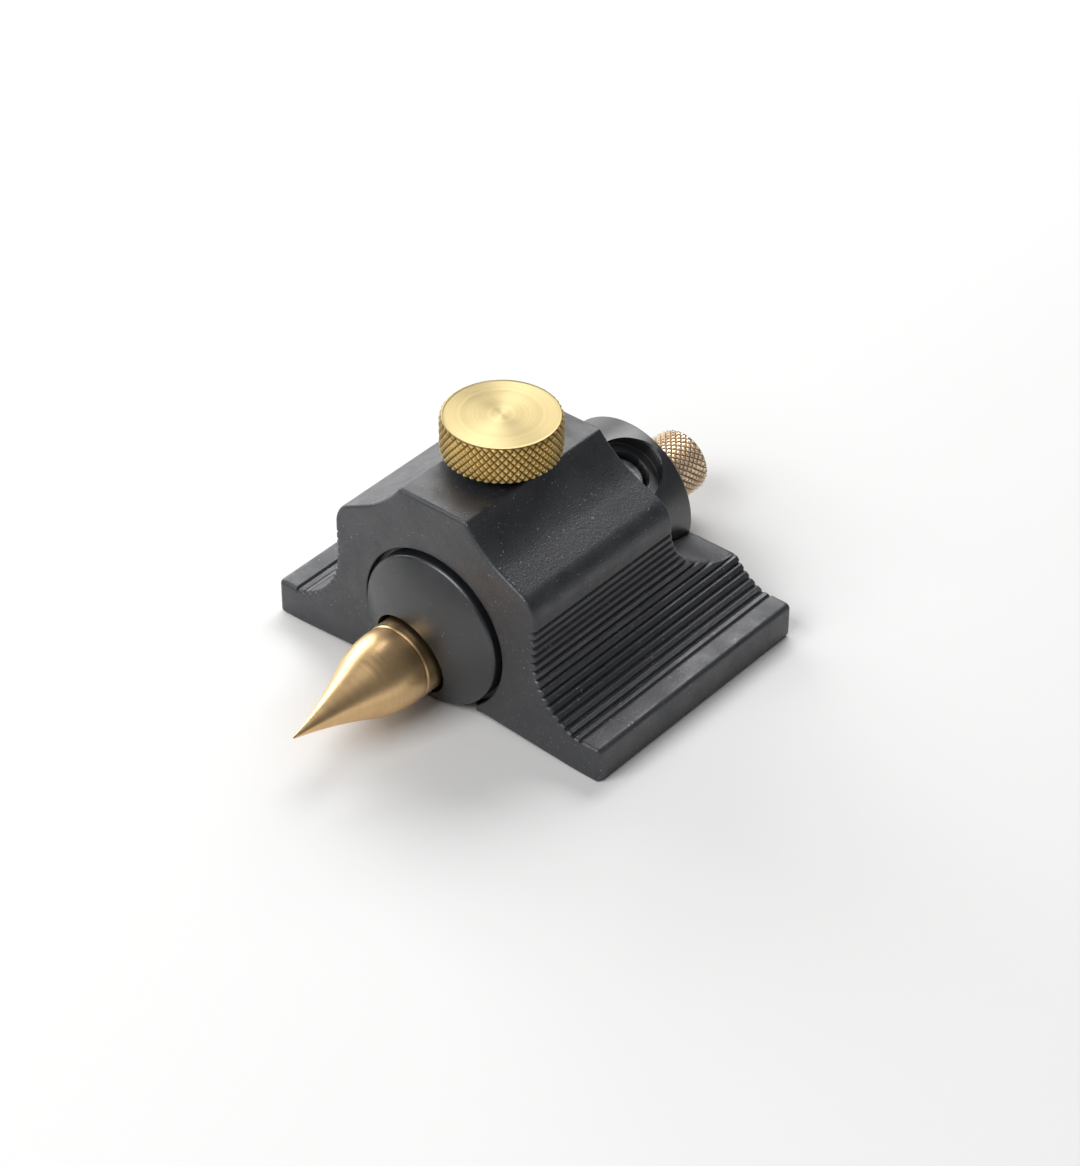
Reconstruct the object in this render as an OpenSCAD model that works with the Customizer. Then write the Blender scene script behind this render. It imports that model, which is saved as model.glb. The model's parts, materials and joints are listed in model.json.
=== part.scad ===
// Marking gauge: a grooved sliding block, a turning barrel and an eccentric brass scriber.
// Millimetres, +Z up.  X is across the block, -Y is the way the point faces, and the origin
// lies under the middle of the whole gauge, on the surface that it stands on.

/* [Block] */
// Width across the two base flanges
block_w = 64.4; // [60:0.2:70]
// Depth of the base from front face to rear face
block_d = 46.4; // [44:0.2:52]
// Height of the flat top above the base
block_h = 35.7; // [35:0.1:38]
// Thickness of the base flanges
flange_h = 6.2; // [5.4:0.1:6.8]
// Width of the flat strip along the top
top_w = 13; // [12:0.5:14]
// Width of the block at its waist
waist_w = 39.2; // [37.6:0.2:40]
// Depth of the upper body, from the front face to the rear scoop
upper_d = 31; // [29:0.5:33]
// Height of the shallow arch under the base
arch_h = 1.4; // [1:0.1:1.8]
// Width of the slot that opens the bore through the underside
slot_w = 16.2; // [14:0.2:18]

/* [Finger grooves] */
// Number of grooves down each side
groove_count = 15; // [10:1:15]
// Spacing of the grooves along the side
groove_pitch = 1.4; // [1.3:0.05:1.4]
// Depth of each V groove
groove_depth = 0.35; // [0.2:0.05:0.45]

/* [Barrel] */
// Outside diameter of the barrel
barrel_d = 25.4; // [25:0.1:25.4]
// Length of the barrel's straight side
barrel_l = 47; // [46:0.1:48]
// Rise of the domed front end
dome_rise = 3.3; // [2.6:0.1:3.6]
// Height of the barrel's axis above the base
barrel_z = 12.95; // [12.9:0.01:13.2]
// Offset of the scriber from the barrel's axis
eccentricity = 5.25; // [4.8:0.05:5.3]
// Turn of the barrel as it stands, from straight up towards +X
barrel_turn = 28; // [10:1:60]

/* [Scriber] */
// Diameter of the scriber rod
rod_d = 12.7; // [12.2:0.1:12.7]
// Reach of the point's tip in front of the block
tip_reach = 28.3; // [25:0.1:32]
// Reach of the knurled tail behind the front face
tail_reach = 63.2; // [60:0.1:70]
// Diameter of the knurled tail
tail_d = 10.9; // [9:0.1:11.4]

/* [Thumb screw] */
// Diameter of the knurled head
head_d = 18.6; // [16:0.1:20]
// Height of the knurled head
head_h = 6.3; // [5:0.1:8]
// Distance of the screw from the front face
screw_y = 15.85; // [14:0.05:17]
// Gap between the head and the top of the block when clamped
head_gap = 1.5; // [1:0.1:3]

/* [Hidden] */
$fn = 64;

over = 1;                              // overrun of every cutting tool
fit_gap = 0.05;                        // radial clearance of every running fit
touch_gap = 0.02;                      // gap between a clamping pad and what it clamps
edge = 0.5;                            // size of the ordinary edge chamfers
m8_r = 4;                              // thread radius of both screws
front_y = (tip_reach - tail_reach) / 2;   // the front face, with the whole length centred

// block section
half_w = block_w / 2;
half_top = top_w / 2;
half_waist = waist_w / 2;
cove_r = 12;
cove_z = 17.4;                         // height where the wall turns into the cove
cove_end = asin((cove_z - flange_h) / cove_r);
cove_foot_x = half_waist + cove_r * (1 - cos(cove_end));
shoulder_r = 4.5;
shoulder_z = 23.44;                    // height where the shoulder meets the wall
shoulder_turn = 63;                    // sweep of the shoulder's arc
facet_r = 18;                          // hollow of the sloping facet above the shoulder
groove_top_z = 21.55;
arch_half = 27.5;                      // half span of the arch under the base
arch_r = (pow(arch_half, 2) + pow(arch_h, 2)) / (2 * arch_h);
arc_steps = 12;

// rear scoop, measured back from the front face
scoop_lip = 1.4;                       // how far the upper body's rear leans back to the scoop
scoop_z = 22.8;                        // height where the scoop's curve begins
scoop_floor = 10.7;
scoop_end = 47;                        // where the scoop's curve has become level

// barrel and what it holds
barrel_r = barrel_d / 2;
dome_r = (pow(barrel_r, 2) + pow(dome_rise, 2)) / (2 * dome_rise);
barrel_front = -0.8;                   // rim of the domed end, just ahead of the block
mouth_r = 13.4;                        // relief around the barrel in the front face
mouth_l = 1.6;
seat_r = barrel_r - 0.5;               // floor of the ring groove that the clamp pad sits in
seat_w = 8.8;
rod_r = rod_d / 2;
rod_front = -5.4;                      // back edge of the chamfer on the rod's front end
rod_rear = 47.2;
rod_mouth_r = rod_r + 0.6;
lock_y = 39.2;                         // distance of the lock screw from the front face
lock_sink_r = 5.55;
lock_sink = 10.3;                      // floor of the screw's recess, out from the barrel's axis
lock_top = 9.1;
lock_pad_t = 1.5;
hex_socket = 4;

// point and tail
rim_r = 6.2;
rim_y = -5.7;
belly_r = 6.3;                         // widest place of the point
belly_y = -7.2;
ogee_r = 16.25;                        // round of the swelling part
ogee_turn = 23.75;                     // slope where the swell turns into the hollow part
tip_r = 0.15;
spigot_r = 2.5;
spigot_l = 8;
tail_neck_r = 4;
tail_neck_l = 2.6;

// thumb screw and its pad
head_r = head_d / 2;
head_z = block_h + head_gap;
neck_r = 3.2;
pad_t = 3;
pad_z = barrel_z + seat_r + touch_gap;
stud_l_in_head = 5;

// points of an arc in the plane, from angle a to angle b
function arc(c, r, a, b) = [for (i = [0:arc_steps])
    c + r * [cos(a + (b - a) * i / arc_steps), sin(a + (b - a) * i / arc_steps)]];

// the sloping facet: out along the shoulder's last normal, then up to reach the flat top
facet_out = [cos(shoulder_turn), sin(shoulder_turn)];
facet_up = [-facet_out[1], facet_out[0]];
shoulder_c = [half_waist - shoulder_r, shoulder_z];
facet_top = [half_top, block_h];
facet_rise = facet_up * (facet_top - shoulder_c)
    - sqrt(pow(facet_r, 2) - pow(facet_out * (facet_top - shoulder_c) - shoulder_r - facet_r, 2));
facet_foot = shoulder_c + shoulder_r * facet_out + facet_rise * facet_up;
facet_c = facet_foot + facet_r * facet_out;

// place and outward angle of the groove that lies s along the side
wall_l = groove_top_z - cove_z;
cove_l = cove_r * cove_end * PI / 180;
function cove_angle(s) = (s - wall_l) / cove_r * 180 / PI;
function groove_spot(s) =
    s < wall_l ? [half_waist, groove_top_z - s, 0] :
    s < wall_l + cove_l ? [half_waist + cove_r * (1 - cos(cove_angle(s))),
        cove_z - cove_r * sin(cove_angle(s)), cove_angle(s)] :
    [cove_foot_x + s - wall_l - cove_l, flange_h, 90];

// puts a plane outline (x, z) upright, running back from y = from to y = to
module run_back(from, to) {
    translate([0, to, 0]) rotate([90, 0, 0]) linear_extrude(to - from) children();
}

// a round bar along Y
module bar(r, from, to) {
    translate([0, from, 0]) rotate([-90, 0, 0]) cylinder(r = r, h = to - from);
}

// a ring-shaped or turned solid about Y, from a plane outline (radius, y)
module turned() {
    rotate([-90, 0, 0]) rotate_extrude() children();
}

// everything below is drawn from the front face; this moves it to the gauge's own frame
module in_frame() {
    translate([0, front_y, 0]) children();
}

// the barrel's own frame: axis along Y, with the scriber straight down
module in_barrel() {
    translate([0, 0, barrel_z]) rotate([0, barrel_turn, 0]) children();
}

// the scriber's axis, inside the barrel's frame
module on_scriber() {
    in_barrel() translate([0, 0, -eccentricity]) children();
}

// the block's section, without its finger grooves
module section() {
    side = [[half_w - edge, 0], [half_w, edge], [half_w, flange_h - edge],
        [half_w - edge, flange_h], [cove_foot_x, flange_h], [half_waist, cove_z],
        [half_waist, shoulder_z], shoulder_c + shoulder_r * facet_out, facet_foot, facet_top];
    count = len(side);
    difference() {
        union() {
            polygon(concat(side, [for (i = [1:count]) [-side[count - i][0], side[count - i][1]]]));
            for (x = [-1, 1]) translate([x * shoulder_c[0], shoulder_c[1]]) circle(r = shoulder_r);
        }
        for (x = [0, 1]) mirror([x, 0]) {
            translate(facet_c) circle(r = facet_r);
            intersection() {
                translate([half_waist + cove_r, cove_z]) circle(r = cove_r);
                translate([half_waist, flange_h]) square([cove_r, cove_z - flange_h]);
            }
        }
        translate([0, arch_h - arch_r]) circle(r = arch_r, $fn = 720);
    }
}

module grooves() {
    for (side = [0, 1], i = [0:groove_count - 1]) {
        spot = groove_spot(i * groove_pitch);
        mirror([side, 0]) translate([spot[0], spot[1]]) rotate(spot[2])
            circle(r = groove_depth, $fn = 4);
    }
}

// outline (y, z) of what the rear scoop takes away above the base
module scoop() {
    lip = upper_d + scoop_lip;
    run = scoop_end - lip;
    drop = scoop_z - scoop_floor;
    polygon(concat(
        [[upper_d, block_h + over], [upper_d, block_h]],
        [for (i = [0:2 * arc_steps]) let (a = 90 * i / (2 * arc_steps))
            [scoop_end - run * cos(a), scoop_z - drop * sin(a)]],
        [[block_d + 2 * over, scoop_floor], [block_d + 2 * over, block_h + over]]));
}

module block() {
    color("dimgray") in_frame() difference() {
        run_back(0, block_d) difference() {
            section();
            grooves();
        }
        translate([-block_w / 2, 0, 0]) rotate([90, 0, 90]) linear_extrude(block_w) scoop();
        translate([0, 0, barrel_z]) bar(barrel_r + fit_gap, -over, block_d + over);
        translate([0, 0, barrel_z]) bar(mouth_r, -over, mouth_l);
        translate([-slot_w / 2, -over, -over]) cube([slot_w, block_d + 2 * over, barrel_z / 3]);
        translate([0, screw_y, barrel_z]) cylinder(r = m8_r + fit_gap, h = block_h);
    }
}

module barrel() {
    rear = barrel_front + barrel_l;
    color("dimgray") in_frame() in_barrel() difference() {
        union() {
            intersection() {
                bar(barrel_r, barrel_front - dome_rise - over, screw_y);
                translate([0, barrel_front - dome_rise + dome_r, 0]) sphere(r = dome_r);
            }
            turned() polygon([[0, screw_y - 2 * seat_w], [barrel_r, screw_y - 2 * seat_w],
                [barrel_r, rear - edge], [barrel_r - edge, rear], [0, rear]]);
        }
        difference() {
            bar(barrel_r + over, screw_y - seat_w / 2, screw_y + seat_w / 2);
            bar(seat_r, screw_y - seat_w, screw_y + seat_w);
        }
        translate([0, 0, -eccentricity]) {
            bar(rod_r + fit_gap, barrel_front - dome_rise - over, rear + over);
            bar(rod_mouth_r, barrel_front - dome_rise - over, mouth_l);
        }
        translate([0, lock_y, 0]) {
            cylinder(r = m8_r + fit_gap, h = barrel_r);
            translate([0, 0, lock_sink]) cylinder(r = lock_sink_r, h = barrel_r);
        }
    }
}

module scriber_rod() {
    color("goldenrod") in_frame() on_scriber() difference() {
        turned() polygon([[0, rim_y], [rim_r, rim_y], [rod_r, rod_front],
            [rod_r, rod_rear - edge], [rod_r - edge, rod_rear], [0, rod_rear]]);
        bar(spigot_r, rim_y - over, rim_y + spigot_l);
        bar(spigot_r, rod_rear - spigot_l, rod_rear + over);
    }
}

// half outline (radius, y) of the point: a swelling arc, then a hollow one out to the tip
module point_outline() {
    swell_c = [belly_r - ogee_r, belly_y];
    turn = swell_c + ogee_r * [cos(ogee_turn), -sin(ogee_turn)];
    rim_turn = asin((rim_y - belly_y) / ogee_r);
    tip = [tip_r, -tip_reach];
    chord = tip - turn;
    bend = 2 * (ogee_turn - atan2(turn[0] - tip[0], turn[1] - tip[1]));
    hollow_r = norm(chord) / (2 * sin(bend / 2));
    hollow_c = turn + hollow_r * [cos(ogee_turn), -sin(ogee_turn)];
    polygon(concat(
        [[0, rim_y]],
        arc(swell_c, ogee_r, rim_turn, -ogee_turn),
        arc(hollow_c, hollow_r, 180 - ogee_turn, 180 - ogee_turn + bend),
        [[0, -tip_reach]]));
}

module point() {
    color("darkgoldenrod") in_frame() on_scriber() {
        turned() point_outline();
        bar(spigot_r, rim_y, rim_y + spigot_l - edge);
    }
}

module tail_knob() {
    start = rod_rear + tail_neck_l;
    tail_r = tail_d / 2;
    color("khaki") in_frame() on_scriber() turned() polygon([
        [0, rod_rear - spigot_l + edge], [spigot_r, rod_rear - spigot_l + edge],
        [spigot_r, rod_rear], [tail_neck_r, rod_rear], [tail_neck_r, start],
        [tail_r - edge, start], [tail_r, start + edge],
        [tail_r, tail_reach - edge], [tail_r - edge, tail_reach], [0, tail_reach]]);
}

module thumb_screw_head() {
    color("gold") in_frame() translate([0, screw_y, head_z]) difference() {
        rotate_extrude() polygon([[0, 0], [head_r - edge, 0], [head_r, edge],
            [head_r, head_h - edge], [head_r - edge, head_h], [0, head_h]]);
        translate([0, 0, -over]) cylinder(r = m8_r, h = stud_l_in_head + over);
    }
}

module thumb_screw_stud() {
    start = pad_z + pad_t;
    thread_end = block_h - edge;
    color("silver") in_frame() translate([0, screw_y, 0]) {
        translate([0, 0, start]) cylinder(r = m8_r, h = thread_end - start);
        translate([0, 0, start]) cylinder(r = neck_r, h = head_z + edge - start);
        translate([0, 0, head_z]) cylinder(r = m8_r, h = stud_l_in_head);
    }
}

module clamp_pad() {
    color("white") in_frame() translate([0, screw_y, pad_z]) cylinder(r = m8_r - fit_gap, h = pad_t);
}

// the lock pad and lock screw stand on the rod, out along the barrel's thick side
lock_pad_start = rod_r - eccentricity + touch_gap;

module lock_pad() {
    color("white") in_frame() in_barrel() translate([0, lock_y, lock_pad_start])
        cylinder(r = m8_r - 2 * fit_gap, h = lock_pad_t);
}

module lock_screw() {
    start = lock_pad_start + lock_pad_t;
    color("silver") in_frame() in_barrel() translate([0, lock_y, 0]) difference() {
        rotate_extrude() polygon([[0, start], [m8_r, start], [m8_r, lock_top - edge],
            [m8_r - edge, lock_top], [0, lock_top]]);
        translate([0, 0, lock_top - hex_socket])
            cylinder(r = hex_socket / sqrt(3), h = hex_socket + over, $fn = 6);
    }
}

block();
barrel();
scriber_rod();
point();
tail_knob();
thumb_screw_head();
thumb_screw_stud();
clamp_pad();
lock_screw();
lock_pad();
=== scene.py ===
import json
import math

import bmesh
import bpy
import numpy as np
from mathutils import Matrix, Vector
from mathutils.geometry import delaunay_2d_cdt


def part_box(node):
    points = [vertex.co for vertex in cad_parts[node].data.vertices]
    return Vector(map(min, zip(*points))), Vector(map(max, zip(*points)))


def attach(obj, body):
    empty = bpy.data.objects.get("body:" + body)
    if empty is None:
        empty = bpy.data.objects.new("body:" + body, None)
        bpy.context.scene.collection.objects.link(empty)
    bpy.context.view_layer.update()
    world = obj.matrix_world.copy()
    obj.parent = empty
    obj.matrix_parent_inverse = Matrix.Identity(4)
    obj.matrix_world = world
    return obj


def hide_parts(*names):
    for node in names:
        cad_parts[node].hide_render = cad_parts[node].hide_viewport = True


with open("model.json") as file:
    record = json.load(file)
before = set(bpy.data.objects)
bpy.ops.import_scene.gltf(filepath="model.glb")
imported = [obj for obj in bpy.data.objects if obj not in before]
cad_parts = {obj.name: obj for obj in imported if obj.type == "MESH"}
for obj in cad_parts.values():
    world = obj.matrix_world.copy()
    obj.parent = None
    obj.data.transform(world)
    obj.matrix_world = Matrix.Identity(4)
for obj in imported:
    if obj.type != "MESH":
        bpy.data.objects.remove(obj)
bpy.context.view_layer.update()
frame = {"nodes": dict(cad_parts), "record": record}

MM = 0.001


def in_mm(corners):
    return [np.array(corner[:]) / MM for corner in corners]


BLOCK_LO, BLOCK_HI = in_mm(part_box("block"))
HEAD_LO, HEAD_HI = in_mm(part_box("thumb_screw_head"))
TAIL_LO, TAIL_HI = in_mm(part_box("tail_knob"))
ROD_LO, ROD_HI = in_mm(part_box("scriber_rod"))
POINT_LO = in_mm(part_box("point"))[0]
BARREL_LO, BARREL_HI = in_mm(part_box("barrel"))
JOINTS = {joint["name"]: joint for joint in frame["record"]["behaviour"]["joints"]}

# ---------------------------------------------------------------- sizes in mm
# The Y values are counted back from the block's front face, and FRONT moves them to the frame.
FRONT = BLOCK_LO[1]
HALF_W = BLOCK_HI[0]
HEIGHT = BLOCK_HI[2]
DEPTH = BLOCK_HI[1] - BLOCK_LO[1]

HALF_TOP = 6.5
HALF_WAIST = 19.6
FLANGE_H = 6.2
FLANGE_ROUND = 0.95
COVE_R = 12.0
COVE_Z = 17.4
COVE_TURN = math.asin((COVE_Z - FLANGE_H) / COVE_R)
COVE_FOOT_X = HALF_WAIST + COVE_R * (1 - math.cos(COVE_TURN))
SHOULDER_R = 4.5
SHOULDER_Z = 23.44
SHOULDER_TURN = math.radians(63)
FACET_R = 18.0
TOP_ROUND = 1.0
# How much of the rounding's radius the facet stops short of the top corner.
TOP_TRIM = 0.45
ARCH_H = 1.4
ARCH_HALF = 27.5
SLOT_HALF = 8.1
FOOT_ROUND = 0.4

GROOVES = 15
GROOVE_PITCH = 1.4
GROOVE_DEPTH = 0.42
GROOVE_HALF = 0.36
GROOVE_TOP_Z = 21.55

AXIS_Z = JOINTS["barrel_turn"]["pos_m"][2] / MM
BORE_R = 12.75
MOUTH_R = 13.4
MOUTH_L = 1.6

UPPER_DEPTH = 31.0
SCOOP_LIP = 1.4
SCOOP_Z = 22.8
SCOOP_FLOOR = 10.7
SCOOP_END = 47.0
SCOOP_ROUND = 0.7
# The rounding stops this far above the floor's edge, so that its slope stays finite there.
SCOOP_GAP = 0.03

BARREL_R = (BARREL_HI[0] - BARREL_LO[0]) / 2
LOCK_AXIS = Vector(JOINTS["lock_lift"]["axis"]).normalized()
BARREL_TURN = math.atan2(LOCK_AXIS.x, LOCK_AXIS.z)
DOME_RISE = 3.3
BARREL_FRONT = -0.8
BARREL_REAR = BARREL_HI[1] - FRONT
RING_Y = 15.85
RING_HALF = 4.4
RING_R = 12.2
ROD_R = (ROD_HI[0] - ROD_LO[0]) / 2
ECCENTRICITY = math.hypot((ROD_HI[0] + ROD_LO[0]) / 2, (ROD_HI[2] + ROD_LO[2]) / 2 - AXIS_Z)
LOCK_Y = JOINTS["lock_screw_turn"]["pos_m"][1] / MM - FRONT
LOCK_SINK_R = 5.55
LOCK_SINK = 10.3
LOCK_HOLE_R = 4.05
LOCK_TOP = 9.1
LOCK_FOOT = 2.62

# The barrel's front edge is eased less beside the scriber's bore, where the two rims nearly meet.
RIM_EASE = 0.35
RIM_EASE_AT_BORE = 0.06
BORE_GAP = 0.05
COUNTERBORE = 0.66

TIP_R = 0.15
BELLY_R = 6.3
BELLY_Y = -7.2
SWELL_R = 16.25
SWELL_TURN = math.radians(23.75)

KNURL_DEPTH = 0.38
TAIL_NECK_R = 4
TAIL_START = 49.8
TAIL_DIAMONDS = (30, 20)
TAIL_LAND = 0.36
HEAD_DIAMONDS = (48, 8)
HEAD_LAND = 0.24


# ---------------------------------------------------------------- mesh helpers
def mesh_object(name, verts, faces, body, slot, *nodes):
    """A mesh from points in mm, riding on a body and standing for CAD nodes; a cutter has no body."""
    mesh = bpy.data.meshes.new(name)
    mesh.from_pydata([Vector(v) * MM for v in verts], [], faces)
    bm = bmesh.new()
    bm.from_mesh(mesh)
    bmesh.ops.remove_doubles(bm, verts=bm.verts, dist=1e-7)
    bmesh.ops.recalc_face_normals(bm, faces=bm.faces)
    bm.to_mesh(mesh)
    bm.free()
    piece = bpy.data.objects.new(name, mesh)
    bpy.context.scene.collection.objects.link(piece)
    if body:
        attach(piece, body)
        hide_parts(*nodes)
    return piece


def apply_modifiers(piece):
    """Replaces the mesh by its evaluated self."""
    graph = bpy.context.evaluated_depsgraph_get()
    mesh = bpy.data.meshes.new_from_object(piece.evaluated_get(graph))
    piece.modifiers.clear()
    old = piece.data
    piece.data = mesh
    bpy.data.meshes.remove(old)


def cut(piece, cutters):
    """Takes the cutters' solids out of the piece, then removes them."""
    for cutter in cutters:
        boolean = piece.modifiers.new("cut", "BOOLEAN")
        boolean.operation = "DIFFERENCE"
        boolean.solver = "EXACT"
        boolean.object = cutter
    apply_modifiers(piece)
    for cutter in cutters:
        bpy.data.objects.remove(cutter)


def smooth(piece, angle=35):
    """Smooth shading with crisp creases past the angle, weighted so that flats stay flat."""
    piece.data.shade_smooth()
    for polygon in piece.data.polygons:
        if max(abs(part) for part in polygon.normal) > 0.999998:
            polygon.use_smooth = False
    piece.data.set_sharp_from_angle(angle=math.radians(angle))
    weighted = piece.modifiers.new("normals", "WEIGHTED_NORMAL")
    weighted.keep_sharp = True
    weighted.weight = 80
    apply_modifiers(piece)


def place(points, matrix):
    return [matrix @ Vector(p) for p in points]


def lathe(profile, segments, matrix):
    """Points and faces of a solid turned about local Z, from a profile of (radius, height)."""
    verts = []
    faces = []
    rings = []
    for radius, height in profile:
        if radius < 1e-6:
            rings.append([len(verts)])
            verts.append((0, 0, height))
            continue
        rings.append(list(range(len(verts), len(verts) + segments)))
        for i in range(segments):
            angle = 2 * math.pi * i / segments
            verts.append((radius * math.cos(angle), radius * math.sin(angle), height))
    for low, high in zip(rings, rings[1:]):
        for i in range(segments):
            j = (i + 1) % segments
            if len(low) == 1 and len(high) > 1:
                faces.append((low[0], high[j], high[i]))
            elif len(high) == 1 and len(low) > 1:
                faces.append((low[i], low[j], high[0]))
            elif len(low) > 1:
                faces.append((low[i], low[j], high[j], high[i]))
    return place(verts, matrix), faces


def rounded(corners, steps=5):
    """A profile through corners (radius, height, rounding), each corner turned by an arc."""
    points = []
    for i, (x, y, r) in enumerate(corners):
        here = Vector((x, y))
        if r == 0 or i in (0, len(corners) - 1):
            points.append(here)
            continue
        before = (Vector(corners[i - 1][:2]) - here).normalized()
        after = (Vector(corners[i + 1][:2]) - here).normalized()
        half = before.angle(after) / 2
        centre = here + (before + after).normalized() * (r / math.sin(half))
        start = here + before * (r / math.tan(half)) - centre
        end = here + after * (r / math.tan(half)) - centre
        turn = start.angle_signed(end)
        for k in range(steps + 1):
            angle = -turn * k / steps
            points.append(centre + Matrix.Rotation(angle, 2) @ start)
    return [tuple(p) for p in points]


class Loop:
    """A closed section outline: points (x, z), outward normals and how its two ends are eased."""

    def __init__(self, points, normals, ease, relief=0.0, ease_back=None):
        self.points = np.array(points, float)
        self.normals = np.array(normals, float)
        self.ease = np.broadcast_to(np.asarray(ease, float), len(points)).copy()
        self.relief = np.broadcast_to(np.asarray(relief, float), len(points)).copy()
        self.ease_back = self.ease if ease_back is None else ease_back

    def inset(self, depth):
        return self.points - self.normals * np.asarray(depth).reshape(-1, 1)


def eased_prism(loops, front, back, relief_l, rows, ring=None, ease_steps=6):
    """Points and faces of a prism along Y between two end surfaces y(x, z), its ends eased round.

    The first loop is the outline, and each one after it is a round hole through the prism.
    relief_l is how far back from the front the loops' relief goes.
    rows are points (x, z) strewn over the ends so that a curved end stays smooth.
    ring is (start, end, depth): a groove turned in the first loop.
    """
    verts = []
    faces = []
    ends = {front: [], back: []}
    for number, loop in enumerate(loops):
        stations = []
        for k in range(ease_steps + 1):
            turn = math.pi / 2 * (1 - k / ease_steps)
            flat = loop.inset(loop.relief + loop.ease * (1 - math.cos(turn)))
            stations.append((flat, front(flat) + loop.ease * (1 - math.sin(turn))))
        count = len(loop.points)
        stations.append((loop.inset(loop.relief), np.full(count, relief_l)))
        stations.append((loop.inset(0 * loop.relief), np.full(count, relief_l)))
        if ring and number == 0:
            for y, depth in ((ring[0], 0), (ring[0], ring[2]), (ring[1], ring[2]), (ring[1], 0)):
                stations.append((loop.inset(np.full(count, depth)), np.full(count, y)))
        for k in range(ease_steps + 1):
            turn = math.pi / 2 * k / ease_steps
            flat = loop.inset(loop.ease_back * (1 - math.cos(turn)))
            stations.append((flat, back(flat) - loop.ease_back * (1 - math.sin(turn))))
        first = len(verts)
        for flat, y in stations:
            verts.extend(zip(flat[:, 0], y, flat[:, 1]))
        for s in range(len(stations) - 1):
            for i in range(count):
                j = (i + 1) % count
                a = first + s * count
                faces.append((a + i, a + j, a + count + j, a + count + i))
        last = first + (len(stations) - 1) * count
        ends[front].append((first, stations[0][0]))
        ends[back].append((last, stations[-1][0]))
    for surface, rims in ends.items():
        ids = [start + i for start, flat in rims for i in range(len(flat))]
        rim = np.vstack([flat for start, flat in rims])
        edges = []
        at = 0
        for start, flat in rims:
            edges.extend((at + i, at + (i + 1) % len(flat)) for i in range(len(flat)))
            at += len(flat)
        gaps = np.linalg.norm(rows[:, None, :] - rim[None, :, :], axis=2).min(axis=1)
        inner = rows[gaps > 0.35]
        coords = [Vector(p) for p in np.vstack([rim, inner])]
        flat_verts, _, tris, origins, _, _ = delaunay_2d_cdt(coords, edges, [], 2, 1e-7)
        centres = [flat.mean(0) for start, flat in rims[1:]]
        radii = [np.linalg.norm(rims[i + 1][1] - c, axis=1).min() for i, c in enumerate(centres)]
        used = {}
        for tri in tris:
            middle = np.mean([flat_verts[v][:] for v in tri], 0)
            if any(np.linalg.norm(middle - c) < radius for c, radius in zip(centres, radii)):
                continue
            corner = []
            for v in tri:
                source = [o for o in origins[v] if o < len(ids)]
                if source:
                    corner.append(ids[source[0]])
                    continue
                if v not in used:
                    used[v] = len(verts)
                    flat = np.array([flat_verts[v][:]])
                    verts.append((flat[0, 0], surface(flat)[0], flat[0, 1]))
                corner.append(used[v])
            if len(set(corner)) == 3:
                faces.append(tuple(corner))
    return verts, faces


# ---------------------------------------------------------------- the block
def arc_points(centre, radius, start, end, step, outward=1):
    """Points and normals along an arc; outward is -1 where the material is outside the circle."""
    count = max(2, math.ceil(abs(end - start) * radius / step))
    turns = [start + (end - start) * i / count for i in range(count + 1)]
    around = [(math.cos(a), math.sin(a)) for a in turns]
    points = [(centre[0] + radius * c, centre[1] + radius * s) for c, s in around]
    return points, [(outward * c, outward * s) for c, s in around]


def line_points(start, end, step):
    """Points and normals inside a straight run, with the material on its left."""
    count = max(2, math.ceil(math.dist(start, end) / step))
    across = Vector((end[1] - start[1], start[0] - end[0])).normalized()
    points = [tuple(np.array(start) + (np.array(end) - start) * i / count) for i in range(1, count)]
    return points, [tuple(across)] * len(points)


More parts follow.
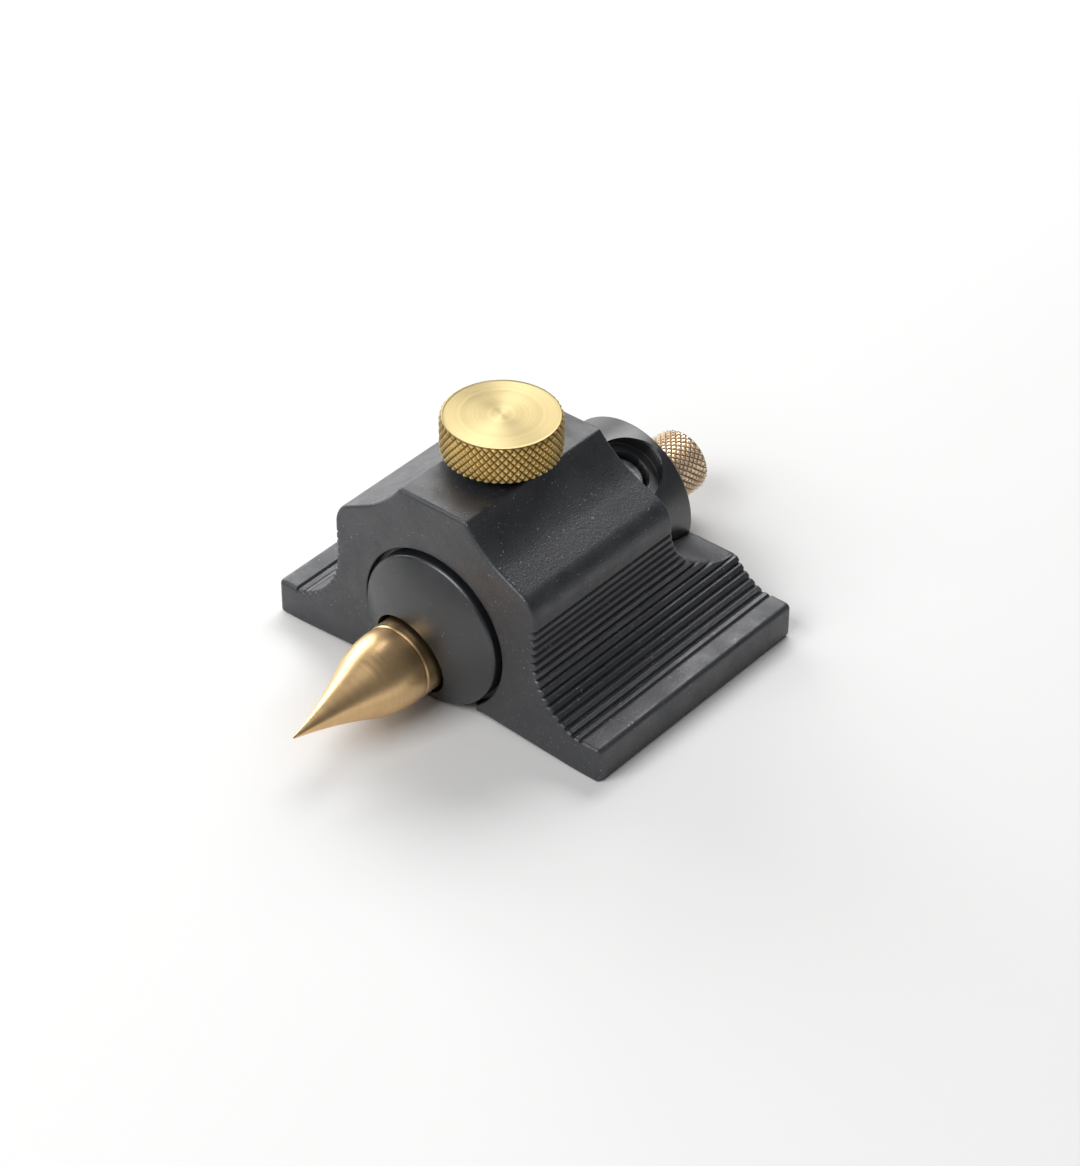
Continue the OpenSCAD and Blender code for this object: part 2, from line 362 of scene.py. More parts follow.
def block_half_outline():
    """The right half of the section, from the top of the bore down and round to the flat top."""
    quarter = math.pi / 2
    out = np.array([math.cos(SHOULDER_TURN), math.sin(SHOULDER_TURN)])
    up = np.array([-out[1], out[0]])
    shoulder = np.array([HALF_WAIST - SHOULDER_R, SHOULDER_Z])
    top = np.array([HALF_TOP, HEIGHT])
    climb = up @ (top - shoulder)
    climb -= math.sqrt(FACET_R**2 - (out @ (top - shoulder) - SHOULDER_R - FACET_R) ** 2)
    facet_foot = shoulder + SHOULDER_R * out + climb * up
    facet = facet_foot + FACET_R * out
    facet_end = math.atan2(*(top - facet)[::-1]) % (2 * math.pi) + TOP_ROUND / FACET_R * TOP_TRIM
    slot_turn = math.asin(SLOT_HALF / BORE_R)
    slot_top = AXIS_Z - BORE_R * math.cos(slot_turn)
    slot_foot = ARCH_H * (1 - (SLOT_HALF / ARCH_HALF) ** 2)
    cove = (HALF_WAIST + COVE_R, COVE_Z)
    cove_foot = (COVE_FOOT_X, FLANGE_H)
    r = FLANGE_ROUND
    foot_r = FOOT_ROUND
    runs = [
        arc_points((0, AXIS_Z), BORE_R, quarter, slot_turn - quarter, 0.45, -1),
        line_points((SLOT_HALF, slot_top), (SLOT_HALF, slot_foot + foot_r), 0.7),
        arc_points((SLOT_HALF + foot_r, slot_foot + foot_r), foot_r, 2 * quarter, 3 * quarter, 0.1),
        line_points((SLOT_HALF + foot_r, slot_foot), (ARCH_HALF, 0), 1.0),
        line_points((ARCH_HALF, 0), (HALF_W - r, 0), 0.5),
        arc_points((HALF_W - r, r), r, -quarter, 0, 0.12),
        line_points((HALF_W, r), (HALF_W, FLANGE_H - r), 0.6),
        arc_points((HALF_W - r, FLANGE_H - r), r, 0, quarter, 0.12),
        line_points((HALF_W - r, FLANGE_H), cove_foot, 0.07),
        arc_points(cove, COVE_R, 2 * quarter + COVE_TURN, 2 * quarter, 0.07, -1),
        line_points((HALF_WAIST, COVE_Z), (HALF_WAIST, SHOULDER_Z), 0.07),
        arc_points(shoulder, SHOULDER_R, 0, SHOULDER_TURN, 0.3),
        line_points(tuple(shoulder + SHOULDER_R * out), tuple(facet_foot), 0.5),
        arc_points(facet, FACET_R, SHOULDER_TURN + 2 * quarter, facet_end, 0.5, -1),
    ]
    points = [p for run in runs for p in run[0]]
    normals = [n for run in runs for n in run[1]]
    slope = math.atan2(normals[-1][1], normals[-1][0])
    edge = np.array(points[-1]) - TOP_ROUND * np.array(normals[-1])
    lift = HEIGHT - TOP_ROUND - edge[1]
    for k in range(1, 7):
        angle = slope + (quarter - slope) * k / 6
        spot = edge + TOP_ROUND * np.array([math.cos(angle), math.sin(angle)])
        points.append((spot[0], spot[1] + lift * k / 6))
        normals.append((math.cos(angle), math.sin(angle)))
    flat_from = points[-1][0]
    for k in range(1, 8):
        points.append((flat_from * (1 - k / 7), HEIGHT))
        normals.append((0.0, 1.0))
    return np.array(points), np.array(normals)


def groove_depths(points):
    """How far the finger grooves sink each outline point, by its distance along the side."""
    depth = np.zeros(len(points))
    for i, (x, z) in enumerate(points):
        if z > GROOVE_TOP_Z + GROOVE_PITCH or z < FLANGE_H - 1e-6 or x < HALF_WAIST - 1e-6:
            continue
        along = GROOVE_TOP_Z - max(z, COVE_Z)
        if z < COVE_Z:
            turn = math.asin(min(1, (COVE_Z - z) / COVE_R))
            along += COVE_R * min(turn, COVE_TURN) + max(0, x - COVE_FOOT_X)
        number = round(along / GROOVE_PITCH)
        if 0 <= number < GROOVES:
            off = abs(along - number * GROOVE_PITCH)
            depth[i] = GROOVE_DEPTH * max(0, 1 - off / GROOVE_HALF)
    return depth


def scoop_back(flat):
    """The block's rear: a steep lip, a scooped curve and the rear face, as y over (x, z)."""
    z = flat[:, 1]
    lip = UPPER_DEPTH + SCOOP_LIP * (HEIGHT - z) / (HEIGHT - SCOOP_Z)
    drop = np.clip((SCOOP_Z - z) / (SCOOP_Z - SCOOP_FLOOR), 0, 1)
    bowl = SCOOP_END - (SCOOP_END - UPPER_DEPTH - SCOOP_LIP) * np.sqrt(1 - drop**2)
    r = SCOOP_ROUND
    rise = np.clip(z - (SCOOP_FLOOR + SCOOP_GAP - r), 0, r)
    face = DEPTH - (r - np.sqrt(r**2 - rise**2))
    return np.where(z > SCOOP_Z, lip, np.minimum(bowl, face))


def flat_front(flat):
    return np.zeros(len(flat))


def make_block():
    points, normals = block_half_outline()
    points = points - normals * groove_depths(points)[:, None]
    mirror = np.array([-1, 1])
    outline = np.vstack([points, (points * mirror)[-2:0:-1]])
    outward = np.vstack([normals, (normals * mirror)[-2:0:-1]])
    in_bore = np.abs(np.hypot(outline[:, 0], outline[:, 1] - AXIS_Z) - BORE_R) < 0.01
    ease = np.where(in_bore, 0.25, 0.7)
    on_side = (outline[:, 1] < FLANGE_H + 0.1) & (np.abs(outline[:, 0]) > HALF_W - 2)
    ease = ease + np.where(on_side, 0.35 * np.abs(outward[:, 0]) ** 3, 0)
    in_slot = (np.abs(outline[:, 0]) < SLOT_HALF + 1) & (outline[:, 1] < 3.5) & ~in_bore
    ease = np.where(in_slot, 0.3, ease)
    relief = np.where(in_bore, -(BORE_R - MOUTH_R), 0)
    rows = [SCOOP_Z - (SCOOP_Z - SCOOP_FLOOR) * math.sin(math.radians(a)) for a in range(0, 89, 3)]
    rows += list(np.arange(SCOOP_Z + 1, HEIGHT, 1.0))
    rows += [SCOOP_FLOOR - SCOOP_ROUND + (SCOOP_ROUND + SCOOP_GAP) * k / 7 for k in range(8)]
    rows += list(np.arange(0.7, SCOOP_FLOOR - 1, 1.5))
    grid = np.array([(x, z) for z in rows for x in np.arange(-31, 31.1, 0.9)])
    ease_back = np.where(outline[:, 1] > SCOOP_Z, np.minimum(ease, 0.32), np.minimum(ease, 0.6))
    loop = Loop(outline, outward, ease, relief, ease_back)
    verts, faces = eased_prism([loop], flat_front, scoop_back, MOUTH_L, grid)
    verts = [(x, y + FRONT, z) for x, y, z in verts]
    piece = mesh_object("block_body", verts, faces, "frame", "black_anodised_blasted", "block")
    inside = 20
    profile = [(0, inside), (LOCK_HOLE_R, inside), (LOCK_HOLE_R, HEIGHT - 0.5),
               (LOCK_HOLE_R + 1, HEIGHT + 0.5), (0, HEIGHT + 0.5)]
    spot = Matrix.Translation((0, RING_Y + FRONT, 0))
    hole = mesh_object("hole", *lathe(profile, 48, spot), None, None)
    cut(piece, [hole])
    smooth(piece, 40)
    return piece


# ---------------------------------------------------------------- the barrel and the scriber
def in_barrel(x=0.0, z=0.0):
    """From a barrel drawn with its thick side up and counted from the front face, to the frame."""
    home = Matrix.Translation((0, FRONT, AXIS_Z)) @ Matrix.Rotation(BARREL_TURN, 4, "Y")
    return home @ Matrix.Translation((x, 0, z))


def dome(flat):
    radius = (BARREL_R**2 + DOME_RISE**2) / (2 * DOME_RISE)
    reach = np.minimum(np.hypot(flat[:, 0], flat[:, 1]), BARREL_R)
    return BARREL_FRONT - DOME_RISE + radius - np.sqrt(radius**2 - reach**2)


def flat_rear(flat):
    return np.full(len(flat), BARREL_REAR)


def circle_loop(x, z, radius, count, ease, outward=1, relief=0.0):
    turns = np.arange(count) * 2 * math.pi / count
    around = np.stack([np.cos(turns), np.sin(turns)], 1)
    return Loop(np.array([x, z]) + radius * around, outward * around, ease, relief)


def make_barrel():
    turns = np.arange(192) * 2 * math.pi / 192
    near_bore = np.clip((-np.sin(turns) - 0.45) / 0.3, 0, 1)
    outer = circle_loop(0, 0, BARREL_R, 192, RIM_EASE - (RIM_EASE - RIM_EASE_AT_BORE) * near_bore)
    bore = circle_loop(0, -ECCENTRICITY, ROD_R + BORE_GAP, 128, RIM_EASE_AT_BORE, -1, COUNTERBORE)
    grid = []
    for number, radius in enumerate((1.5, 3, 4.5, 6, 7.5, 9, 10.3, 11.5), 1):
        spots = [2 * math.pi * k / (8 * number) for k in range(8 * number)]
        grid.extend((radius * math.cos(a), radius * math.sin(a)) for a in spots)
    ring = (RING_Y - RING_HALF, RING_Y + RING_HALF, BARREL_R - RING_R)
    verts, faces = eased_prism([outer, bore], dome, flat_rear, MOUTH_L, np.array(grid), ring)
    verts = place(verts, in_barrel())
    piece = mesh_object("barrel_body", verts, faces, "barrel", "black_anodised_turned", "barrel")
    profile = rounded([
        (0, 0, 0), (LOCK_HOLE_R, 0, 0), (LOCK_HOLE_R, LOCK_SINK, 0.15), (LOCK_SINK_R, LOCK_SINK, 0.1),
        (LOCK_SINK_R, 12.35, 0), (LOCK_SINK_R + 0.35, 12.8, 0), (LOCK_SINK_R + 0.35, 15, 0), (0, 15, 0)])
    spot = in_barrel() @ Matrix.Translation((0, LOCK_Y, 0))
    sink = mesh_object("sink", *lathe(profile, 96, spot), None, None)
    cut(piece, [sink])
    smooth(piece, 32)
    return piece


def along_scriber():
    """Turned pieces on the scriber: local Z runs back along Y, counted from the front face."""
    return in_barrel(0, -ECCENTRICITY) @ Matrix.Rotation(-math.pi / 2, 4, "X")


def make_rod():
    rear = ROD_HI[1] - FRONT
    start = ROD_LO[1] - FRONT
    profile = rounded([
        (0, start, 0), (ROD_R - 0.15, start, 0.04), (ROD_R, start + 0.3, 0.1),
        (ROD_R, rear - 0.4, 0.12), (ROD_R - 0.4, rear, 0.12), (0, rear, 0)])
    verts, faces = lathe(profile, 128, along_scriber())
    piece = mesh_object("scriber_bar", verts, faces, "scriber", "brass_rod", "scriber_rod")
    smooth(piece)
    return piece


def point_radius(y):
    """The point's swelling and hollow outline: a round arc that runs into a hollow one."""
    turn_y = BELLY_Y - SWELL_R * math.sin(SWELL_TURN)
    turn_r = BELLY_R - SWELL_R * (1 - math.cos(SWELL_TURN))
    if y > turn_y:
        return BELLY_R - SWELL_R + math.sqrt(SWELL_R**2 - (y - BELLY_Y) ** 2)
    tip_y = POINT_LO[1] - FRONT
    run = turn_y - tip_y
    chord = math.atan2(turn_r - TIP_R, run)
    bend = 2 * (SWELL_TURN - chord)
    hollow = math.hypot(run, turn_r - TIP_R) / (2 * math.sin(bend / 2))
    centre_y = turn_y - hollow * math.sin(SWELL_TURN)
    centre_r = turn_r + hollow * math.cos(SWELL_TURN)
    return centre_r - math.sqrt(hollow**2 - (y - centre_y) ** 2)


def make_point():
    tip = POINT_LO[1] - FRONT
    rim = ROD_LO[1] - FRONT
    profile = [(0, tip), (TIP_R * 0.8, tip + 0.05)]
    steps = 90
    for k in range(1, steps + 1):
        y = tip + 0.15 + (rim - 0.15 - tip - 0.15) * k / steps
        profile.append((point_radius(y), y))
    profile.append((point_radius(rim) - 0.1, rim))
    profile.append((0, rim))
    verts, faces = lathe(profile, 128, along_scriber())
    piece = mesh_object("scriber_point", verts, faces, "scriber", "brass_point", "point")
    smooth(piece)
    return piece


def knurled(before, after, radius, diamonds, low, high, land, matrix):
    """Points and faces of a turned piece with a diamond knurl between two smooth profiles.

    Each diamond is a small pyramid with its tip taken off, and its four corners lie at full depth.
    diamonds is how many there are around and in rows. land is how much of a diamond its flat top takes.
    """
    around, rows = diamonds
    verts = []
    faces = []

    def ring(r, z):
        verts.extend((r * math.cos(math.pi * i / around), r * math.sin(math.pi * i / around), z)
                     for i in range(2 * around))
        return len(verts) - 2 * around

    def spot(column, row, r):
        turn = math.pi * column / around
        verts.append((r * math.cos(turn), r * math.sin(turn), low + (high - low) * row / rows))
        return len(verts) - 1

    def join(one, other):
        for i in range(2 * around):
            j = (i + 1) % (2 * around)
            faces.append((one + i, one + j, other + j, other + i))

    def edge(row):
        sinks = [0.03 if (i + row) % 2 else KNURL_DEPTH for i in range(2 * around)]
        return [spot(i, row, radius - sink) for i, sink in enumerate(sinks)]

    def close(profile, rim, near_first):
        rings = [ring(r, z) for r, z in profile]
        for one, other in zip(rings, rings[1:]):
            join(one, other)
        outer, cap = (rings[-1], rings[0]) if near_first else (rings[0], rings[-1])
        for i in range(2 * around):
            j = (i + 1) % (2 * around)
            faces.append((outer + i, outer + j, rim[j], rim[i]))
        faces.append(tuple(range(cap, cap + 2 * around)))

    first, last = edge(0), edge(rows)
    close(before, first, True)
    close(after, last, False)
    corners = {(i, 0): first[i] for i in range(2 * around)}
    corners.update({(i, rows): last[i] for i in range(2 * around)})
    for row in range(1, rows):
        for i in range(row % 2, 2 * around, 2):
            corners[i, row] = spot(i, row, radius - KNURL_DEPTH)
    for row in range(rows + 1):
        for i in range((row + 1) % 2, 2 * around, 2):
            left, right = corners[(i - 1) % (2 * around), row], corners[(i + 1) % (2 * around), row]
            if row == 0:
                faces.extend([(corners[i, 0], right, corners[i, 1]),
                              (corners[i, 0], corners[i, 1], left)])
                continue
            if row == rows:
                faces.extend([(corners[i, rows], left, corners[i, rows - 1]),
                              (corners[i, rows], corners[i, rows - 1], right)])
                continue
            outline = [left, corners[i, row - 1], right, corners[i, row + 1]]
            top = [spot(i - land, row, radius), spot(i, row - land, radius),
                   spot(i + land, row, radius), spot(i, row + land, radius)]
            faces.append(tuple(top))
            for k in range(4):
                faces.append((outline[k], outline[(k + 1) % 4], top[(k + 1) % 4], top[k]))
    return place(verts, matrix), faces


def make_tail():
    rear = TAIL_HI[1] - FRONT
    radius = (TAIL_HI[0] - TAIL_LO[0]) / 2
    start = TAIL_START
    before = [(2.4, 40), (2.4, 46.9), (TAIL_NECK_R, 46.9), (TAIL_NECK_R, start),
              (radius - 0.75, start), (radius - 0.5, start + 0.1)]
    after = [(radius - 0.45, rear - 0.15), (radius - 0.7, rear), (radius * 0.5, rear), (radius * 0.1, rear)]
    spot = along_scriber()
    turned = knurled(before, after, radius, TAIL_DIAMONDS, start + 0.4, rear - 0.5, TAIL_LAND, spot)
    piece = mesh_object("tail_grip", *turned, "scriber", "brass_knurled", "tail_knob")
    smooth(piece, 20)
    return piece


def make_head():
    radius = (HEAD_HI[0] - HEAD_LO[0]) / 2
    low, high = HEAD_LO[2], HEAD_HI[2]
    before = [(3.9, low + 1.0), (4.4, low), (radius - 0.75, low), (radius - 0.5, low + 0.1)]
    after = [(radius - 0.36, high - 0.06), (radius - 0.45, high - 0.015), (radius - 0.55, high)]
    after += [(radius * k / 10, high) for k in range(9, 0, -1)]
    spot = Matrix.Translation((0, RING_Y + FRONT, 0))
    turned = knurled(before, after, radius, HEAD_DIAMONDS, low + 0.35, high - 0.3, HEAD_LAND, spot)
    piece = mesh_object("clamp_knob", *turned, "thumb_screw", "brass_polished", "thumb_screw_head")
    smooth(piece, 20)
    return piece


def make_lock_screw():
    spot = in_barrel() @ Matrix.Translation((0, LOCK_Y, 0))
    profile = rounded([(0, LOCK_FOOT, 0), (3.4, LOCK_FOOT, 0.1), (4, LOCK_FOOT + 0.6, 0.1),
                       (4, LOCK_TOP - 0.6, 0.1), (3.45, LOCK_TOP, 0.1), (0, LOCK_TOP, 0)])
    turned = lathe(profile, 96, spot)
    piece = mesh_object("lock_grub", *turned, "lock_screw", "steel_screw", "lock_screw")
    reach = 2 / math.cos(math.pi / 6)
    socket_profile = [(0, LOCK_TOP - 5), (reach, LOCK_TOP - 4), (reach, LOCK_TOP - 0.3),
                      (reach + 0.5, LOCK_TOP + 0.2), (0, LOCK_TOP + 0.2)]
    socket = mesh_object("socket", *lathe(socket_profile, 6, spot), None, None)
    cut(piece, [socket])
    smooth(piece, 30)
    return piece


# ---------------------------------------------------------------- materials
class Shader:
    """A small wrapper that makes nodes of one material and links them.

    Whatever is the same all over a surface is set on the shader's own sockets here.
    """

    def __init__(self, name, color=None, roughness=None, metallic=0.0, specular=0.5, anisotropic=0.0):
        self.material = bpy.data.materials.new(name)
        self.material.use_nodes = True
        self.tree = self.material.node_tree
        self.bsdf = self.tree.nodes["Principled BSDF"]
        if color:
            self.bsdf.inputs["Base Color"].default_value = (*color, 1)
        if roughness:
            self.bsdf.inputs["Roughness"].default_value = roughness
        self.bsdf.inputs["Metallic"].default_value = metallic
        self.bsdf.inputs["Specular IOR Level"].default_value = specular
        self.bsdf.inputs["Anisotropic"].default_value = anisotropic
        self.object = self.node("ShaderNodeTexCoord").outputs["Object"]
        self.normal = None

    def node(self, kind, inputs=None, **settings):
        node = self.tree.nodes.new(kind)
        for key, value in settings.items():
            setattr(node, key, value)
        for key, value in (inputs or {}).items():
            if isinstance(value, bpy.types.NodeSocket):
                self.tree.links.new(value, node.inputs[key])
            else:
                node.inputs[key].default_value = value
        return node

    def link(self, output, name):
        self.tree.links.new(output, self.bsdf.inputs[name])

    def noise(self, scale, detail=2.0, vector=None, roughness=0.5):
        inputs = {"Vector": vector or self.object, "Scale": scale, "Detail": detail, "Roughness": roughness}
        return self.node("ShaderNodeTexNoise", inputs).outputs["Fac"]

    def ramp(self, value, low, high, start=0.0, end=1.0):
        inputs = {"Value": value, "From Min": low, "From Max": high, "To Min": start, "To Max": end}
        return self.node("ShaderNodeMapRange", inputs).outputs["Result"]

    def mix(self, factor, first, second):
        node = self.node("ShaderNodeMix", data_type="RGBA")
        for socket, value in ((node.inputs[0], factor), (node.inputs[6], first), (node.inputs[7], second)):
            if isinstance(value, bpy.types.NodeSocket):
                self.tree.links.new(value, socket)
            elif isinstance(value, tuple):
                socket.default_value = (*value, 1)
            else:
                socket.default_value = value
        return node.outputs[2]

    def math(self, operation, first, second=0.0):
        return self.node("ShaderNodeMath", {0: first, 1: second}, operation=operation).outputs[0]

    def bump(self, height, strength, distance):
        inputs = {"Height": height, "Strength": strength, "Distance": distance}
        if self.normal:
            inputs["Normal"] = self.normal
        self.normal = self.node("ShaderNodeBump", inputs).outputs["Normal"]
        self.link(self.normal, "Normal")

    def sharp_edges(self, low, high):
        """1 on sharp convex edges, 0 elsewhere."""
        return self.ramp(self.node("ShaderNodeNewGeometry").outputs["Pointiness"], low, high)

    def from_axis(self, centre, turn):
        """Coordinates about a turned axis: (distance from it, distance along it)."""
        mapping = self.node("ShaderNodeMapping", {"Vector": self.object}, vector_type="TEXTURE")
        mapping.inputs["Location"].default_value = centre
        mapping.inputs["Rotation"].default_value = turn
        parts = self.node("ShaderNodeSeparateXYZ", {"Vector": mapping.outputs[0]})
        flat = self.node("ShaderNodeCombineXYZ", {"X": parts.outputs[0], "Y": parts.outputs[1]})
        length = self.node("ShaderNodeVectorMath", {0: flat.outputs[0]}, operation="LENGTH")
        return length.outputs["Value"], parts.outputs[2]

    def turned(self, centre, turn, scale, strength, distance):
        """Fine rings left by the lathe, as bump and as a value for colour and gloss."""
        away, along = self.from_axis(centre, turn)
        vector = self.node("ShaderNodeCombineXYZ", {"X": away, "Y": along}).outputs[0]
        rings = self.noise(scale, 4.0, vector, 0.65)
        self.bump(rings, strength, distance)
        return rings


ALONG_Y = (-math.pi / 2, 0, 0)


def axis_of(low, high):
    return tuple((low + high) / 2 * MM)


def black_blasted():
    s = Shader("black_anodised_blasted", specular=1.0)
    patches = s.noise(75, 4, roughness=0.6)
    grain = s.noise(4200, 2)
    base = s.mix(s.ramp(patches, 0.38, 0.62), (0.003, 0.0045, 0.0095), (0.0085, 0.0095, 0.0145))
    base = s.mix(s.ramp(grain, 0.35, 0.7, 0, 0.8), base, (0.019, 0.020, 0.024))
    # Light grey specks strewn over the surface, thicker in some patches.
    speck_patches = s.ramp(s.noise(160, 3), 0.4, 0.6, 0.25, 0.8)
    specks = s.math("MULTIPLY", s.ramp(s.noise(2300, 1), 0.715, 0.755), speck_patches)
    base = s.mix(specks, base, (0.30, 0.29, 0.28))
    s.link(base, "Base Color")
    s.link(s.ramp(s.noise(260, 5, roughness=0.65), 0.34, 0.66, 0.40, 0.56), "Roughness")
    s.bump(s.noise(700, 3), 0.15, 0.00014)
    s.bump(s.noise(2600, 3, roughness=0.6), 0.5, 0.00011)
    return s.material


def black_turned():
    s = Shader("black_anodised_turned", specular=1.0)
    centre = (0, 0, AXIS_Z * MM)
    rings = s.turned(centre, ALONG_Y, 5200, 0.1, 0.00003)
    base = s.mix(s.ramp(rings, 0.3, 0.7), (0.006, 0.0066, 0.009), (0.012, 0.0125, 0.0145))
    specks = s.ramp(s.noise(1700, 1), 0.755, 0.785)
    base = s.mix(s.math("MULTIPLY", specks, 0.5), base, (0.26, 0.26, 0.26))
    # Sharp edges are painted lighter: a painted highlight along the barrel's edges.
    edge_highlight = s.sharp_edges(0.54, 0.66)
    base = s.mix(s.math("MULTIPLY", edge_highlight, 0.35), base, (0.12, 0.12, 0.125))
    s.link(base, "Base Color")
    s.link(s.ramp(s.noise(220, 3), 0.3, 0.7, 0.34, 0.44), "Roughness")
    return s.material


def brass(name, color, tint, roughness, centre, turn, marks):
    """Bare brass with lathe marks; tint is its tarnish."""
    s = Shader(name, metallic=1.0)
    rings = s.turned(centre, turn, 2600, marks, 0.00004)
    base = s.mix(s.ramp(s.noise(420, 4), 0.35, 0.75, 0, 0.35), color, tint)
    base = s.mix(s.ramp(rings, 0.35, 0.65, 0, 0.35), base, tuple(c * 0.84 for c in color))
    s.link(base, "Base Color")
    s.link(s.ramp(rings, 0.3, 0.7, roughness - 0.05, roughness + 0.05), "Roughness")
    return s.material


def knurled_brass(name, color, valley_shade, radius, centre, turn, top=None):
    """Bare brass with painted shade in the knurl's valleys; top is (height, colour) of a turned end face, a
    darker brass colour that paints shade on it.
    """
    s = Shader(name, metallic=0.82, anisotropic=0.8 if top else 0.0)
    away, along = s.from_axis(centre, turn)
    clouds = s.ramp(s.noise(500, 4), 0.35, 0.7, 0, 0.4)
    base = s.mix(clouds, color, tuple(c * 0.82 for c in color))
    # The knurl's valleys are painted darker: painted shade in the hollows.
    foot = (radius - KNURL_DEPTH) * MM
    depth = s.ramp(away, foot + 0.00002, foot + 0.00019, 1.0, 0.0)
    if top:
        # The top face gets a darker copy of the brass: painted shade, with the lathe rings kept on it.
        height, face = top
        rings = s.turned(centre, turn, 1700, 0.3, 0.00005)
        shaded_top = s.mix(s.ramp(rings, 0.3, 0.7), face, tuple(c * 0.78 for c in face))
        on_top = s.ramp(along, height * MM - 0.0001, height * MM - 0.00002)
        depth = s.math("MULTIPLY", depth, s.ramp(on_top, 0.0, 1.0, 1.0, 0.0))
        base = s.mix(depth, base, valley_shade)
        base = s.mix(on_top, base, shaded_top)
        s.link(s.node("ShaderNodeTangent", direction_type="RADIAL", axis="Z").outputs[0], "Tangent")
    else:
        base = s.mix(depth, base, valley_shade)
    s.link(base, "Base Color")
    s.link(s.ramp(depth, 0.0, 1.0, 0.29, 0.5), "Roughness")
    return s.material


def steel():
    s = Shader("steel_screw", metallic=1.0)
    s.bump(s.noise(3000, 3), 0.1, 0.00003)
    s.link(s.ramp(s.noise(900, 3), 0.3, 0.7, 0.24, 0.38), "Roughness")
    base = s.mix(s.noise(600, 3), (0.86, 0.86, 0.85), (0.74, 0.74, 0.73))
    s.link(base, "Base Color")
    return s.material


def nylon():
    s = Shader("nylon_pad", roughness=0.5)
    base = s.mix(s.noise(500, 3), (0.82, 0.81, 0.77), (0.74, 0.73, 0.69))
    s.link(base, "Base Color")
    s.bump(s.noise(4000, 2), 0.1, 0.00003)
    return s.material


def dress(piece, material):
    piece.data.materials.clear()
    piece.data.materials.append(material)


# ---------------------------------------------------------------- the object
SCRIBER_AXIS = axis_of(ROD_LO, ROD_HI)
HEAD_AXIS = axis_of(HEAD_LO, HEAD_HI)

dress(make_block(), black_blasted())
dress(make_barrel(), black_turned())
dress(make_rod(), brass("brass_rod", (0.60, 0.42, 0.22), (0.44, 0.29, 0.14), 0.34,
                        SCRIBER_AXIS, ALONG_Y, 0.12))
dress(make_point(), brass("brass_point", (0.88, 0.60, 0.31), (0.64, 0.40, 0.19), 0.37,
                          SCRIBER_AXIS, ALONG_Y, 0.10))
# The third colour of each knurled brass is painted shade for the knurl's valleys.
dress(make_tail(), knurled_brass("brass_knurled", (0.94, 0.77, 0.56), (0.34, 0.21, 0.12),
                                 (TAIL_HI[0] - TAIL_LO[0]) / 2, SCRIBER_AXIS, ALONG_Y))
# The head's last colour is darker brass for its top face: painted shade.
dress(make_head(), knurled_brass("brass_polished", (1.0, 0.74, 0.30), (0.17, 0.085, 0.018),
                                 (HEAD_HI[0] - HEAD_LO[0]) / 2, HEAD_AXIS, (0, 0, 0),
                                 ((HEAD_HI[2] - HEAD_LO[2]) / 2, (0.34, 0.27, 0.125))))
steel_material = steel()
dress(make_lock_screw(), steel_material)
dress(frame["nodes"]["thumb_screw_stud"], steel_material)
nylon_material = nylon()
for node in ("clamp_pad", "lock_pad"):
    dress(frame["nodes"][node], nylon_material)


# ---------------------------------------------------------------- the studio
# Angles are in degrees round the gauge, 0 at its front and 90 at +X. Sizes here are in metres.
FLOOR_HALF = 4.0
WORLD_COLOR = (0.93, 0.96, 1.0, 1)
WORLD_STRENGTH = 0.15

# Each softbox: its name, azimuth, elevation, size and the radiance of its face.
SOFTBOXES = (
    ("front", -8, 46, (0.65, 0.5), 6.2),
    ("left", -108, 21, (0.7, 0.5), 4.9),
    ("rear_left", -155, 49, (0.55, 0.45), 6.2),
)
SOFTBOX_DISTANCE = 0.9
SOFTBOX_AIM = Vector((0, 0, 0.015))

CAMERA_AZIMUTH = 40.02
CAMERA_ELEVATION = 37.67
CAMERA_ROLL = 0.137
CAMERA_TARGET = Vector((9.0, FRONT + 14.0, 17.7)) * MM
CAMERA_DISTANCE = 0.560
CAMERA_LENS = 115.6
CAMERA_SENSOR = 36


def outward(azimuth, elevation):
    """The direction from the gauge towards a light or the camera."""
    turn, rise = math.radians(azimuth), math.radians(elevation)
    return Vector((math.sin(turn) * math.cos(rise), -math.cos(turn) * math.cos(rise), math.sin(rise)))


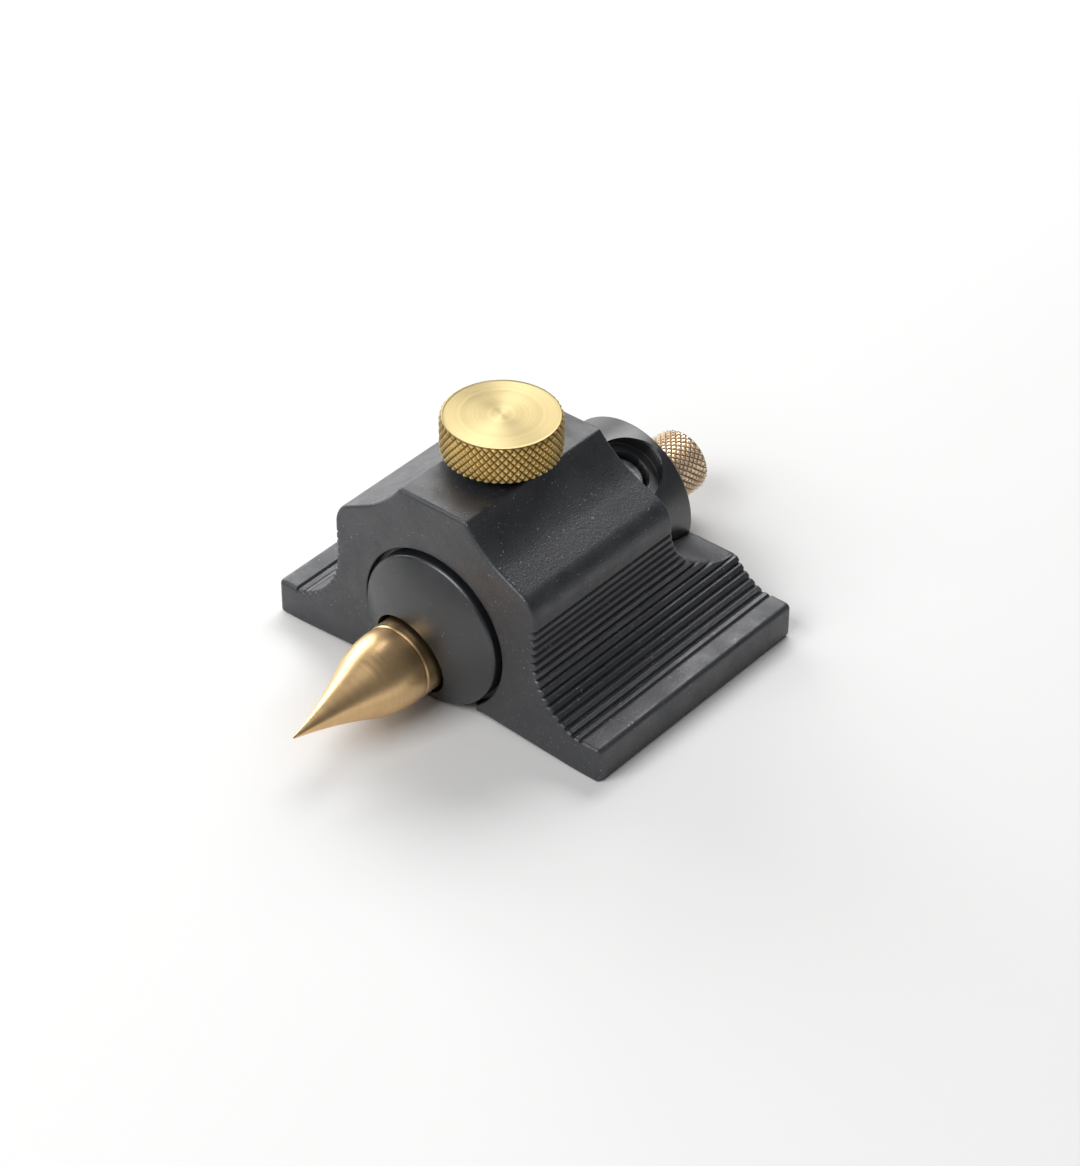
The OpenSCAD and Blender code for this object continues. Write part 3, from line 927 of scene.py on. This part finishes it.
def make_floor():
    mesh = bpy.data.meshes.new("floor")
    corners = [(x * FLOOR_HALF, y * FLOOR_HALF, 0) for x, y in ((-1, -1), (1, -1), (1, 1), (-1, 1))]
    mesh.from_pydata(corners, [], [(0, 1, 2, 3)])
    floor = bpy.data.objects.new("floor", mesh)
    bpy.context.scene.collection.objects.link(floor)
    dress(floor, Shader("floor_paper", (0.79, 0.787, 0.78), 0.9, specular=0.0).material)


def make_world():
    world = bpy.data.worlds.new("studio")
    bpy.context.scene.world = world
    world.use_nodes = True
    background = world.node_tree.nodes["Background"]
    background.inputs["Color"].default_value = WORLD_COLOR
    background.inputs["Strength"].default_value = WORLD_STRENGTH


def make_softbox(name, azimuth, elevation, size, radiance):
    """A soft rectangular light that faces the gauge and isn't itself in view."""
    light = bpy.data.lights.new(name, "AREA")
    light.shape = "RECTANGLE"
    light.size, light.size_y = size
    light.energy = radiance * math.pi * size[0] * size[1]
    lamp = bpy.data.objects.new(name, light)
    bpy.context.scene.collection.objects.link(lamp)
    lamp.visible_camera = False
    direction = outward(azimuth, elevation)
    lamp.location = direction * SOFTBOX_DISTANCE + SOFTBOX_AIM
    lamp.rotation_euler = direction.to_track_quat("Z", "Y").to_euler()


def make_camera():
    """The photograph's view: from the front right and above, through a long lens."""
    back = outward(CAMERA_AZIMUTH, CAMERA_ELEVATION)
    camera = bpy.data.cameras.new("camera")
    camera.sensor_fit = "VERTICAL"
    camera.sensor_height = CAMERA_SENSOR
    camera.lens = CAMERA_LENS
    camera.clip_start = 0.01
    camera.clip_end = 20
    rig = bpy.data.objects.new("camera", camera)
    bpy.context.scene.collection.objects.link(rig)
    turned = back.to_track_quat("Z", "Y").to_matrix().to_4x4()
    turned = turned @ Matrix.Rotation(math.radians(CAMERA_ROLL), 4, "Z")
    rig.matrix_world = Matrix.Translation(CAMERA_TARGET + back * CAMERA_DISTANCE) @ turned
    bpy.context.scene.camera = rig


bpy.context.scene.view_settings.view_transform = "Standard"
make_floor()
make_camera()
make_world()
for softbox in SOFTBOXES:
    make_softbox(*softbox)
